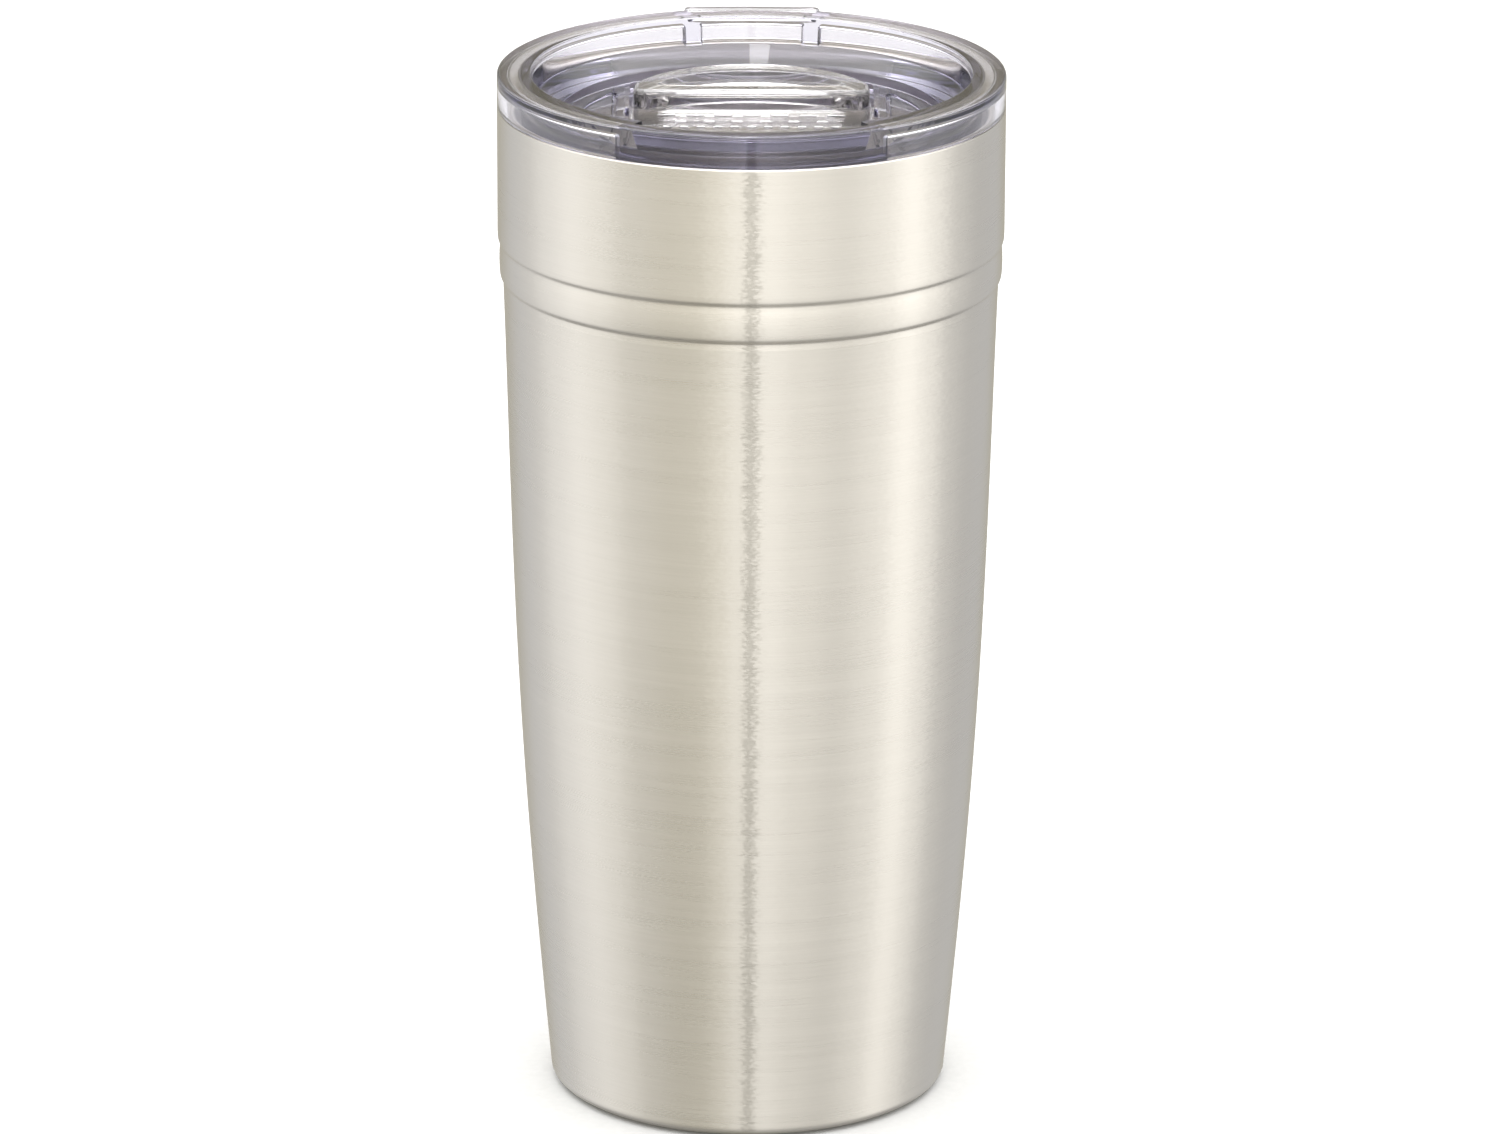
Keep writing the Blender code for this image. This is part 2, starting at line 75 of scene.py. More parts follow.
def finish_piece(name, bm, material, sharp_degrees=35):
    """Merge doubles, point the faces outwards and make the object."""
    bmesh.ops.remove_doubles(bm, verts=bm.verts, dist=0.000002)
    bmesh.ops.recalc_face_normals(bm, faces=bm.faces)
    mesh = bpy.data.meshes.new(name)
    bm.to_mesh(mesh)
    bm.free()
    mesh.shade_smooth()
    mesh.set_sharp_from_angle(angle=math.radians(sharp_degrees))
    piece = bpy.data.objects.new(name, mesh)
    bpy.context.scene.collection.objects.link(piece)
    if material is not None:
        mesh.materials.append(material)
    return piece


def arc(radius, start, end, steps, centre=(0, 0)):
    """Points along an arc, between two angles in degrees from +X."""
    angles = [math.radians(start + (end - start) * step / steps) for step in range(steps + 1)]
    return [(centre[0] + radius * math.cos(a), centre[1] + radius * math.sin(a)) for a in angles]


def rounded(corners, closed=True, steps=5):
    """An outline whose corners (x, y, radius) are turned into arcs. A radius of 0 keeps the corner."""
    points = []
    last = len(corners) - 1
    for index, (x, y, radius) in enumerate(corners):
        if radius == 0 or (not closed and index in (0, last)):
            points.append((x, y))
            continue
        here = Vector((x, y))
        before = (Vector(corners[index - 1][:2]) - here).normalized()
        after = (Vector(corners[(index + 1) % len(corners)][:2]) - here).normalized()
        half = before.angle(after) / 2
        centre = here + (before + after).normalized() * (radius / math.sin(half))
        start = here + before * (radius / math.tan(half)) - centre
        end = here + after * (radius / math.tan(half)) - centre
        turn = math.atan2(start.x * end.y - start.y * end.x, start.dot(end))
        for step in range(steps + 1):
            spoke = Matrix.Rotation(turn * step / steps, 2) @ start
            points.append((centre.x + spoke.x, centre.y + spoke.y))
    return points


def flowing(points, steps=6):
    """A smooth curve through the points, for a rolled or drawn form."""
    ends = [points[0]] + list(points) + [points[-1]]
    curve = []
    for a, b, c, d in zip(ends, ends[1:], ends[2:], ends[3:]):
        a, b, c, d = (Vector(p) for p in (a, b, c, d))
        for step in range(steps):
            t = step / steps
            point = b + (c - a) * (t / 2) + (a * 2 - b * 5 + c * 4 - d) * (t * t / 2)
            point += (b * 3 - a - c * 3 + d) * (t ** 3 / 2)
            curve.append((point.x, point.y))
    return curve + [tuple(points[-1])]


def chain(bm, points, closed):
    verts = [bm.verts.new(point) for point in points]
    edges = [bm.edges.new(pair) for pair in zip(verts, verts[1:])]
    if closed:
        edges.append(bm.edges.new((verts[-1], verts[0])))
    return verts + edges


def turned(name, outline, material, closed=True, steps=ROUND):
    """A full turn of an outline of (radius, height). An open outline starts and ends on the axis."""
    bm = bmesh.new()
    drawn = chain(bm, [(r * MM, 0, z * MM) for r, z in outline], closed)
    bmesh.ops.spin(bm, geom=drawn, cent=(0, 0, 0), axis=(0, 0, 1), angle=2 * math.pi,
                   steps=steps, use_merge=True, use_duplicate=False)
    return finish_piece(name, bm, material)


def sector(outline, middle, half_angle, steps, end_round=0.0):
    """A tool: part of a turn of an outline, half_angle each side of middle, in degrees from +X. The edges
    of its two end faces can be rounded."""
    bm = bmesh.new()
    drawn = chain(bm, [(r * MM, 0, z * MM) for r, z in outline], closed=True)
    bmesh.ops.rotate(bm, cent=(0, 0, 0), matrix=Matrix.Rotation(math.radians(middle - half_angle), 3, "Z"),
                     verts=bm.verts)
    bmesh.ops.spin(bm, geom=drawn, cent=(0, 0, 0), axis=(0, 0, 1),
                   angle=math.radians(2 * half_angle), steps=steps, use_duplicate=False)
    ends = bmesh.ops.holes_fill(bm, edges=bm.edges, sides=0)["faces"]
    if end_round:
        bmesh.ops.recalc_face_normals(bm, faces=bm.faces)
        rims = list({edge for face in ends for edge in face.edges})
        bmesh.ops.bevel(bm, geom=rims, offset=end_round * MM, segments=4, profile=0.5,
                        affect="EDGES", material=-1)
    return finish_piece("tool", bm, None)


def block(name, outline, low, high, material=None, top_round=0.0, foot_round=0.0, draw_in=1.0,
          round_steps=4):
    """An upright block with a plan outline. Its top or foot edges can be rounded, or its foot drawn in."""
    bm = bmesh.new()
    drawn = chain(bm, [(x * MM, y * MM, high * MM) for x, y in outline], closed=True)
    top = bmesh.ops.contextual_create(bm, geom=drawn)["faces"]
    grown = bmesh.ops.extrude_face_region(bm, geom=top, use_keep_orig=True)["geom"]
    foot = [item for item in grown if isinstance(item, bmesh.types.BMVert)]
    middle = sum((vert.co for vert in foot), Vector()) / len(foot)
    bmesh.ops.translate(bm, vec=(0, 0, (low - high) * MM), verts=foot)
    bmesh.ops.scale(bm, vec=(draw_in, draw_in, 1), space=Matrix.Translation(-middle), verts=foot)
    bmesh.ops.recalc_face_normals(bm, faces=bm.faces)
    for height, radius in ((high, top_round), (low, foot_round)):
        if radius:
            rim = [e for e in bm.edges if all(abs(v.co.z - height * MM) < 1e-7 for v in e.verts)]
            bmesh.ops.bevel(bm, geom=rim, offset=radius * MM, segments=round_steps, profile=0.5,
                            affect="EDGES", material=-1)
    return finish_piece(name, bm, material)


def carve(piece, tool, operation="DIFFERENCE"):
    """Cut the tool out of the piece, or join it on, and drop the tool."""
    step = piece.modifiers.new("carve", "BOOLEAN")
    step.operation = operation
    step.solver = "EXACT"
    step.object = tool
    whole = piece.evaluated_get(bpy.context.evaluated_depsgraph_get())
    mesh = bpy.data.meshes.new_from_object(whole)
    piece.modifiers.clear()
    piece.data = mesh
    bpy.data.objects.remove(tool)


def settle(piece, sharp_degrees=35):
    """Clean a carved piece's slivers and give its flat faces flat shading beside their rounded edges."""
    bm = bmesh.new()
    bm.from_mesh(piece.data)
    bmesh.ops.remove_doubles(bm, verts=bm.verts, dist=0.000003)
    bmesh.ops.dissolve_degenerate(bm, edges=bm.edges, dist=0.000001)
    bmesh.ops.recalc_face_normals(bm, faces=bm.faces)
    bm.to_mesh(piece.data)
    bm.free()
    piece.data.shade_smooth()
    piece.data.set_sharp_from_angle(angle=math.radians(sharp_degrees))
    even = piece.modifiers.new("even shading", "WEIGHTED_NORMAL")
    even.mode = "FACE_AREA"
    even.weight = 50
    even.keep_sharp = True


def show(piece, body, node):
    """The piece stands for a CAD node, moves with its body, and hides the CAD node."""
    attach(piece, body)
    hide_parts(node)


# ---------------------------------------------------------------- material helpers

def linear(hex_colour):
    """An sRGB hex colour as linear red, green, blue and alpha."""
    parts = [int(hex_colour[i:i + 2], 16) / 255 for i in (1, 3, 5)]
    return tuple(c / 12.92 if c <= 0.04045 else ((c + 0.055) / 1.055) ** 2.4 for c in parts) + (1.0,)


def add_node(tree, kind, settings=None, inputs=None):
    """Add a node, set its properties, and set or link its inputs. A linked input is (node, output)."""
    node = tree.nodes.new(kind)
    for name, value in (settings or {}).items():
        setattr(node, name, value)
    for name, value in (inputs or {}).items():
        if isinstance(value, tuple) and value and isinstance(value[0], bpy.types.Node):
            tree.links.new(value[0].outputs[value[1]], node.inputs[name])
        else:
            node.inputs[name].default_value = value
    return node


def new_material(name):
    material = bpy.data.materials.new(name)
    material.use_nodes = True
    tree = material.node_tree
    tree.nodes.clear()
    place = add_node(tree, "ShaderNodeTexCoord")
    return material, tree, place


def close_material(tree, shader, volume=None):
    end = add_node(tree, "ShaderNodeOutputMaterial", None, {"Surface": (shader, "BSDF")})
    if volume is not None:
        tree.links.new(volume.outputs["Volume"], end.inputs["Volume"])


def set_ramp(ramp, stops):
    """Give a colour ramp its stops, each (position, hex colour)."""
    points = ramp.color_ramp.elements
    while len(points) < len(stops):
        points.new(0.5)
    for point, (position, colour) in zip(points, stops):
        point.position = position
        point.color = linear(colour)


def grain(tree, place, per_metre, detail=3.0, roughness=0.55):
    """Noise in object space, with its own fineness along X, Y and Z."""
    stretch = add_node(tree, "ShaderNodeMapping", None, {"Vector": (place, "Object"), "Scale": per_metre})
    return add_node(tree, "ShaderNodeTexNoise", None,
                    {"Vector": (stretch, "Vector"), "Scale": 1.0, "Detail": detail, "Roughness": roughness})


# ---------------------------------------------------------------- materials

def brushed_stainless(name, colours, roughness, lines_per_mm, relief_mm, lean, anisotropy):
    """18/8 stainless sheet, turned against an abrasive belt. The fine scratches run round the piece, so
    highlights stay sharp sideways and smear up and down, and each scratch leans a little to one side,
    which breaks up their edges. Real scratches are 0.05 mm apart, and are drawn coarser to show."""
    material, tree, place = new_material(name)
    hairlines = grain(tree, place, (45, 45, lines_per_mm * 1000), 3.0, 0.65)
    bands = grain(tree, place, (9, 9, 420), 3.0, 0.5)
    clouds = grain(tree, place, (26, 26, 18), 2.0, 0.5)
    tone = add_node(tree, "ShaderNodeMix", {"data_type": "FLOAT"},
                    {"Factor": 0.35, "A": (hairlines, "Fac"), "B": (bands, "Fac")})
    tone = add_node(tree, "ShaderNodeMix", {"data_type": "FLOAT"},
                    {"Factor": 0.3, "A": (tone, "Result"), "B": (clouds, "Fac")})
    colour = add_node(tree, "ShaderNodeValToRGB", None, {"Fac": (tone, "Result")})
    set_ramp(colour, ((0.38, colours[0]), (0.62, colours[1])))
    rough = add_node(tree, "ShaderNodeMapRange", None,
                     {"Value": (tone, "Result"), "From Min": 0.35, "From Max": 0.65,
                      "To Min": roughness - 0.02, "To Max": roughness + 0.03})
    bump = add_node(tree, "ShaderNodeBump", None,
                    {"Height": (hairlines, "Fac"), "Strength": 0.5, "Distance": relief_mm * MM})
    around = add_node(tree, "ShaderNodeVectorMath", {"operation": "CROSS_PRODUCT"},
                      {0: (0, 0, 1), 1: (place, "Object")})
    sideways = add_node(tree, "ShaderNodeVectorMath", {"operation": "NORMALIZE"},
                        {"Vector": (around, "Vector")})
    speckle = grain(tree, place, (1100, 1100, lines_per_mm * 700), 1.0, 0.5)
    amount = add_node(tree, "ShaderNodeMapRange", None,
                      {"Value": (speckle, "Fac"), "From Min": 0.3, "From Max": 0.7,
                       "To Min": -lean, "To Max": lean})
    leaning = add_node(tree, "ShaderNodeVectorMath", {"operation": "SCALE"},
                       {"Vector": (sideways, "Vector"), "Scale": (amount, "Result")})
    leant = add_node(tree, "ShaderNodeVectorMath", {"operation": "ADD"},
                     {0: (bump, "Normal"), 1: (leaning, "Vector")})
    normal = add_node(tree, "ShaderNodeVectorMath", {"operation": "NORMALIZE"},
                      {"Vector": (leant, "Vector")})
    shader = add_node(tree, "ShaderNodeBsdfPrincipled", None,
                      {"Base Color": (colour, "Color"), "Metallic": 1.0, "Roughness": (rough, "Result"),
                       "Normal": (normal, "Vector"), "Anisotropic": anisotropy,
                       "Anisotropic Rotation": 0.25, "Tangent": (around, "Vector")})
    close_material(tree, shader)
    return material


def spun_stainless():
    """Pressed stainless disc, spun against the belt, so its scratches are rings about the middle."""
    material, tree, place = new_material("stainless_spun_disc")
    flat = add_node(tree, "ShaderNodeVectorMath", {"operation": "MULTIPLY"},
                    {0: (place, "Object"), 1: (1, 1, 0)})
    radius = add_node(tree, "ShaderNodeVectorMath", {"operation": "LENGTH"}, {0: (flat, "Vector")})
    rings = add_node(tree, "ShaderNodeTexNoise", {"noise_dimensions": "1D"},
                     {"W": (radius, "Value"), "Scale": 2600.0, "Detail": 3.0})
    wear = grain(tree, place, (90, 90, 90), 4.0, 0.6)
    tone = add_node(tree, "ShaderNodeValToRGB", None, {"Fac": (rings, "Fac")})
    set_ramp(tone, ((0.3, "#BDB8AE"), (0.7, "#D2CEC5")))
    rough = add_node(tree, "ShaderNodeMapRange", None,
                     {"Value": (wear, "Fac"), "From Min": 0.3, "From Max": 0.7,
                      "To Min": 0.26, "To Max": 0.4})
    bump = add_node(tree, "ShaderNodeBump", None,
                    {"Height": (rings, "Fac"), "Strength": 0.5, "Distance": 0.008 * MM})
    shader = add_node(tree, "ShaderNodeBsdfPrincipled", None,
                      {"Base Color": (tone, "Color"), "Metallic": 1.0, "Roughness": (rough, "Result"),
                       "Normal": (bump, "Normal")})
    close_material(tree, shader)
    return material


def clear_copolyester(name, surface, absorb, density, rough_range, satin_above=None):
    """Injection-moulded clear copolyester, polished tool. Nearly white through a thin wall, and
    blue-violet where light runs along it, with the faint waves and fine rub marks of a moulding.
    Above the height satin_above, in millimetres, the tool is vapour-blasted and leaves a satin face."""
    material, tree, place = new_material(name)
    flow = grain(tree, place, (70, 70, 110), 2.0, 0.5)
    rub = grain(tree, place, (300, 240, 300), 2.0, 0.5)
    rough = add_node(tree, "ShaderNodeMapRange", None,
                     {"Value": (rub, "Fac"), "From Min": 0.45, "From Max": 0.75,
                      "To Min": rough_range[0], "To Max": rough_range[1]})
    if satin_above is not None:
        height = add_node(tree, "ShaderNodeSeparateXYZ", None, {"Vector": (place, "Object")})
        satin = add_node(tree, "ShaderNodeMapRange", None,
                         {"Value": (height, "Z"), "From Min": satin_above * MM,
                          "From Max": (satin_above + 0.15) * MM, "To Min": 0.0, "To Max": 0.16})
        rough = add_node(tree, "ShaderNodeMath", {"operation": "MAXIMUM"},
                         {0: (rough, "Result"), 1: (satin, "Result")})
    bump = add_node(tree, "ShaderNodeBump", None,
                    {"Height": (flow, "Fac"), "Strength": 0.35, "Distance": 0.06 * MM})
    shader = add_node(tree, "ShaderNodeBsdfPrincipled", None,
                      {"Base Color": linear(surface), "Roughness": (rough, 0), "IOR": 1.54,
                       "Transmission Weight": 1.0, "Normal": (bump, "Normal")})
    body = add_node(tree, "ShaderNodeVolumeAbsorption", None,
                    {"Color": linear(absorb), "Density": density})
    close_material(tree, shader, body)
    return material


def silicone_ring():
    """Food-grade silicone, moulded. Milky and matt, with a little light through it."""
    material, tree, place = new_material("silicone_translucent")
    cloud = grain(tree, place, (260, 260, 260), 4.0, 0.6)
    tone = add_node(tree, "ShaderNodeValToRGB", None, {"Fac": (cloud, "Fac")})
    set_ramp(tone, ((0.3, "#D9DADC"), (0.7, "#ECEDEE")))
    bump = add_node(tree, "ShaderNodeBump", None,
                    {"Height": (cloud, "Fac"), "Strength": 0.3, "Distance": 0.03 * MM})
    shader = add_node(tree, "ShaderNodeBsdfPrincipled", None,
                      {"Base Color": (tone, "Color"), "Roughness": 0.42, "IOR": 1.41,
                       "Transmission Weight": 0.6, "Normal": (bump, "Normal")})
    close_material(tree, shader)
    return material


def plain_metal(name, colours, rough_range, grain_per_metre, bump_mm, metallic=1.0):
    """A metal with no directed polish: mottled tone and roughness over a shallow grain."""
    material, tree, place = new_material(name)
    mottle = grain(tree, place, (grain_per_metre,) * 3, 5.0, 0.6)
    tone = add_node(tree, "ShaderNodeValToRGB", None, {"Fac": (mottle, "Fac")})
    set_ramp(tone, ((0.3, colours[0]), (0.7, colours[1])))
    rough = add_node(tree, "ShaderNodeMapRange", None,
                     {"Value": (mottle, "Fac"), "From Min": 0.3, "From Max": 0.7,
                      "To Min": rough_range[0], "To Max": rough_range[1]})
    bump = add_node(tree, "ShaderNodeBump", None,
                    {"Height": (mottle, "Fac"), "Strength": 0.5, "Distance": bump_mm * MM})
    shader = add_node(tree, "ShaderNodeBsdfPrincipled", None,
                      {"Base Color": (tone, "Color"), "Metallic": metallic, "Roughness": (rough, "Result"),
                       "Normal": (bump, "Normal")})
    close_material(tree, shader)
    return material


# ---------------------------------------------------------------- steel body

SHEET = 0.5
BODY_R = 44.0
LIP_Z = 178.1
WELD_R = 41.85
NECK_END_Z = 157.0
TAPER_TOP_Z = 146.2
TAPER = ((146.5, 43.03), (111.1, 42.00), (75.8, 40.66), (40.4, 38.42), (5.0, 35.36))
FOOT_Z = 0.3
FOOT_INNER_R = 32.5
MOUTH_R = 40.8
JACKET = 3.1
LINER_FLOOR_Z = 11.0
LINER_CORNER = 6.0
COVER_R = 32.1
COVER_RIM_Z = 3.9


def taper_radius(z):
    """Outer radius down the tapering body: a smooth curve through its measured stations."""
    total = 0.0
    for z_here, r_here in TAPER:
        weight = 1.0
        for z_other, r_other in TAPER:
            if z_other != z_here:
                weight *= (z - z_other) / (z_here - z_other)
        total += weight * r_here
    return total


def heights(high, low, count):
    return [high + (low - high) * step / (count - 1) for step in range(count)]


# The two rolled steps, from the straight neck down to the taper
ROLLED_STEPS = ((44.0, 156.4), (43.99, 155.5), (43.92, 154.75), (43.64, 154.3), (43.54, 154.0),
                (43.56, 153.5), (43.65, 152.5), (43.70, 151.2), (43.69, 149.9), (43.63, 148.8),
                (43.52, 148.1), (43.20, 147.65), (43.02, 147.4), (42.99, 147.0))


def make_shell(material):
    """Drawn outer wall: rounded lip, straight neck, two rolled steps, long taper, turned-in foot."""
    foot_r = taper_radius(2.1)
    lip = rounded([(WELD_R, LIP_Z, 0), (BODY_R, LIP_Z, 0.2), (BODY_R, 170.0, 0)], closed=False, steps=5)
    steps = flowing(ROLLED_STEPS + ((taper_radius(TAPER_TOP_Z), TAPER_TOP_Z),), 5)
    outer = lip + [(BODY_R, 163.0), (BODY_R, NECK_END_Z)] + steps
    outer += [(taper_radius(z), z) for z in heights(TAPER_TOP_Z - 1.2, 2.1, 40)]
    foot = arc(1.8, -12, -90, 8, (foot_r - 1.8, FOOT_Z + 1.8)) + [(FOOT_INNER_R, FOOT_Z)]
    inner = [(FOOT_INNER_R, FOOT_Z + SHEET), (foot_r - 1.8, FOOT_Z + SHEET)]
    inner += [(taper_radius(z) - SHEET, z) for z in heights(2.1, TAPER_TOP_Z, 12)]
    inner += [(43.2, 152.0), (BODY_R - SHEET, NECK_END_Z), (BODY_R - SHEET, LIP_Z - 0.9)]
    inner += [(BODY_R - 0.9, LIP_Z - SHEET), (WELD_R, LIP_Z - SHEET)]
    shell = turned("tumbler_shell", outer + foot + inner, material)
    settle(shell, 50)
    show(shell, "tumbler", "outer_shell")


def liner_radius(z):
    narrow = taper_radius(146.5) - JACKET
    if z >= 146.5:
        return narrow + (MOUTH_R - narrow) * min(1.0, 1.6 * (z - 146.5) / (LIP_Z - 146.5))
    return taper_radius(z) - JACKET


def make_liner(material):
    """Drawn cup that holds the drink, with a soft inner edge at the lip and a round bottom corner."""
    corner_z = LINER_FLOOR_Z + LINER_CORNER
    corner = (liner_radius(corner_z) - LINER_CORNER, corner_z)
    wall = [(liner_radius(z), z) for z in [175.5, 170.0, 166.25] + heights(163.0, corner_z + 1.0, 36)]
    edge = arc(0.6, 90, 180, 5, (MOUTH_R + 0.6, LIP_Z - 0.6))
    inside = [(WELD_R - 0.15, LIP_Z)] + edge + wall
    inside += arc(LINER_CORNER, 0, -90, 10, corner) + [(0, LINER_FLOOR_Z)]
    outside = [(0, LINER_FLOOR_Z - SHEET)] + arc(LINER_CORNER + SHEET, -90, 0, 10, corner)
    outside += [(r + SHEET, z) for r, z in wall[::-1][1:-1]]
    outside += [(MOUTH_R + SHEET, LIP_Z - 1.9), (WELD_R - 0.15, LIP_Z - SHEET)]
    liner = turned("tumbler_liner", inside + outside, material)
    settle(liner, 50)
    show(liner, "tumbler", "inner_liner")


def make_lip_weld(material):
    """The ground-down weld that joins shell and liner along the top of the lip."""
    outline = rounded([(WELD_R - 0.45, LIP_Z - 0.3, 0.1), (WELD_R + 0.45, LIP_Z - 0.3, 0.1),
                       (WELD_R + 0.35, LIP_Z + 0.06, 0.1), (WELD_R - 0.35, LIP_Z + 0.06, 0.1)], steps=3)
    weld = turned("lip_weld", outline, material)
    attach(weld, "tumbler")


def make_cover(material):
    """Pressed bottom disc with a rounded rim."""
    outline = rounded([(COVER_R, COVER_RIM_Z, 0), (COVER_R, 0, 1.2), (0, 0, 0), (0, SHEET, 0),
                       (COVER_R - SHEET, SHEET, 0.7), (COVER_R - SHEET, COVER_RIM_Z, 0)], steps=6)
    cover = turned("base_disc", outline, material)
    settle(cover, 40)
    show(cover, "tumbler", "base_cover")


# ---------------------------------------------------------------- lid

COLLAR_Z = 178.2              # the collar rests on the lip
LID_TOP_Z = 184.0
FLOOR_Z = 175.0
FLOOR_UNDER_Z = 173.0
BEAD_Z = 175.5
BEAD_OUTER_R = 31.8
BEAD_INNER_R = 30.3
BEAD_SIDE_X = 23.4
CHANNEL_HALF_W = 21.3
CHANNEL_R = 33.1
CHANNEL_Z = 172.9
PAN_Z = 171.4
PAN_HALF_W = 24.4
PAN_R = 34.9
TAB_HALF_W = 12.0             # thumb tab at the back
TAB_REACH = 45.62
TAB_Z = 181.6
POCKET_R = (39.8, 42.3)       # hollow under the collar
POCKET_TOP_Z = 182.2
BACK_RIB = 15.3               # degrees from the back, and from the front, to each rib's middle
FRONT_RIB = 30.6
BACK_RIB_HALF = 1.9           # half a rib's width, in degrees
FRONT_RIB_HALF = 1.6
SLOT_HALF_W = 12.0            # drinking slot
SLOT_R = 32.3
SLOT_BACK_Y = -26.8


def strip_in_circle(half_width, radius, steps=24):
    """Plan of the part of a circle between two upright lines."""
    side = math.degrees(math.acos(half_width / radius))
    return arc(radius, side, 180 - side, steps) + arc(radius, 180 + side, 360 - side, steps)


def dee(side_x, radius, corner, side=1):
    """Plan of the part of a circle beyond an upright line, with its two corners rounded."""
    x = side_x + corner
    y = math.sqrt((radius - corner) ** 2 - x ** 2)
    edge = math.degrees(math.atan2(y, x))
    plan = arc(radius, -edge, edge, 28)[:-1] + arc(corner, edge, 180, 6, (x, y))
    plan += arc(corner, 180, 360 - edge, 6, (x, -y))[:-1]
    return plan if side > 0 else [(-x, y) for x, y in reversed(plan)]


def lid_section():
    """Half section of the lid before its hollows are cut, from its middle over the top to its underside."""
    return rounded([(0, FLOOR_Z, 0), (33.3, FLOOR_Z, 0.25), (33.3, 176.5, 0.45), (37.0, 179.35, 0.7),
                    (38.2, LID_TOP_Z, 0.35), (44.0, LID_TOP_Z, 0.5), (44.0, COLLAR_Z, 0.2),
                    (39.8, COLLAR_Z, 0.3), (39.8, 172.4, 0.2), (37.9, 172.4, 0.25), (37.9, 168.6, 0.25),
                    (39.4, 168.6, 0.25), (39.4, 166.0, 0.7), (36.2, 166.0, 0.7), (36.2, 174.4, 1.0),
                    (33.5, FLOOR_UNDER_Z, 1.0), (0, FLOOR_UNDER_Z, 0)], closed=False, steps=5)


def make_lid(material):
    """Clear moulded lid, with its pockets, ribs, cut-back lip, beads, channel and holes."""
    lid = turned("lid_clear", lid_section(), material, closed=False, steps=LID_ROUND)
    tab = rounded([(-TAB_HALF_W, 42.5, 0), (-TAB_HALF_W, 45.3, 1.2), (0, TAB_REACH, 0),
                   (TAB_HALF_W, 45.3, 1.2), (TAB_HALF_W, 42.5, 0)], steps=6)
    carve(lid, block("tool", tab, TAB_Z, LID_TOP_Z - 0.02, top_round=0.5, foot_round=0.4), "UNION")
    pan = strip_in_circle(PAN_HALF_W, PAN_R)
    carve(lid, block("tool", pan, PAN_Z, FLOOR_UNDER_Z + 0.4, foot_round=0.4), "UNION")
    for side in (1, -1):
        bead = dee(CHANNEL_HALF_W - 1.0, BEAD_OUTER_R, 1.0, side)
        carve(lid, block("tool", bead, FLOOR_Z - 0.3, BEAD_Z, top_round=0.22), "UNION")
    for side in (1, -1):
        inner = dee(BEAD_SIDE_X, BEAD_INNER_R, 1.0, side)
        carve(lid, block("tool", inner, FLOOR_Z - 0.02, BEAD_Z + 0.3, foot_round=0.15, draw_in=0.985))
    pocket = rounded([(POCKET_R[0], COLLAR_Z - 1.5, 0), (POCKET_R[1], COLLAR_Z - 1.5, 0),
                      (POCKET_R[1], POCKET_TOP_Z, 0.6), (POCKET_R[0], POCKET_TOP_Z, 0.6)], steps=5)
    carve(lid, sector(pocket, 90, BACK_RIB - BACK_RIB_HALF, 16, 0.55))
    side_start = 90 - BACK_RIB - BACK_RIB_HALF
    side_end = FRONT_RIB + FRONT_RIB_HALF - 90
    side_half = (side_start - side_end) / 2
    side_middle = (side_start + side_end) / 2
    carve(lid, sector(pocket, side_middle, side_half, 68, 0.55))
    carve(lid, sector(pocket, 180 - side_middle, side_half, 68, 0.55))
    spout = [(35.0, 179.36), (37.2, 179.42), (40.9, 183.9), (41.0, 185.0), (35.0, 185.0)]
    carve(lid, sector(spout, -90, FRONT_RIB - FRONT_RIB_HALF, 32))
    channel = strip_in_circle(CHANNEL_HALF_W, CHANNEL_R)
    carve(lid, block("tool", channel, CHANNEL_Z, BEAD_Z + 0.5, foot_round=0.2))
    groove = [(-22.3, -23.5), (22.3, -23.5), (22.3, 23.5), (-22.3, 23.5)]
    carve(lid, block("tool", groove, CHANNEL_Z - 0.03, 174.1))
    for side in (1, -1):
        notch = rounded([(side * 21.0, -0.6, 0), (side * 21.9, -0.6, 0.5),
                         (side * 21.9, 6.8, 0.5), (side * 21.0, 6.8, 0)])
        carve(lid, block("tool", notch, 173.9, BEAD_Z + 0.4))
    slot_side = math.degrees(math.asin(SLOT_HALF_W / SLOT_R))
    slot = [(x, y, 0) for x, y in arc(SLOT_R, 270 - slot_side, 270 + slot_side, 8)]
    slot[0] = (*slot[0][:2], 1.2)
    slot[-1] = (*slot[-1][:2], 1.2)
    slot = rounded(slot + [(SLOT_HALF_W, SLOT_BACK_Y, 1.2), (-SLOT_HALF_W, SLOT_BACK_Y, 1.2)])
    carve(lid, block("tool", slot, PAN_Z - 1, CHANNEL_Z + 1))
    carve(lid, block("tool", arc(1.2, 0, 345, 23, (0, 15.0)), PAN_Z - 1, CHANNEL_Z + 1))
    settle(lid, 32)
    show(lid, "lid", "lid_body")


def make_gasket(material):
    """Soft ring in the skirt's groove, with one thin lip towards the liner."""
    outline = rounded([(38.2, 172.1, 0.2), (39.65, 172.1, 0.3), (39.7, 171.0, 0.3),
                       (40.35, 170.55, 0.12), (40.35, 170.15, 0.12), (39.7, 169.7, 0.3),
                       (39.65, 168.9, 0.3), (38.2, 168.9, 0.2)], steps=4)
    gasket = turned("lid_seal_ring", outline, material, steps=LID_ROUND)
    settle(gasket, 50)
    show(gasket, "lid", "lid_gasket")


# ---------------------------------------------------------------- slider

SLIDER_HALF_W = 20.9
SLIDER_Z = (173.2, 175.2)
SLIDER_FRONT_R = 32.8
SLIDER_BACK = (22.6, 4.2)     # radius and centre of the rounded back
PAD_INSET = 0.3
PAD_TOP_Z = 178.6
DISH_HALF_W = 17.8
DISH_BACK_Y = 20.5
DISH_DEEP = 9.9               # front to back
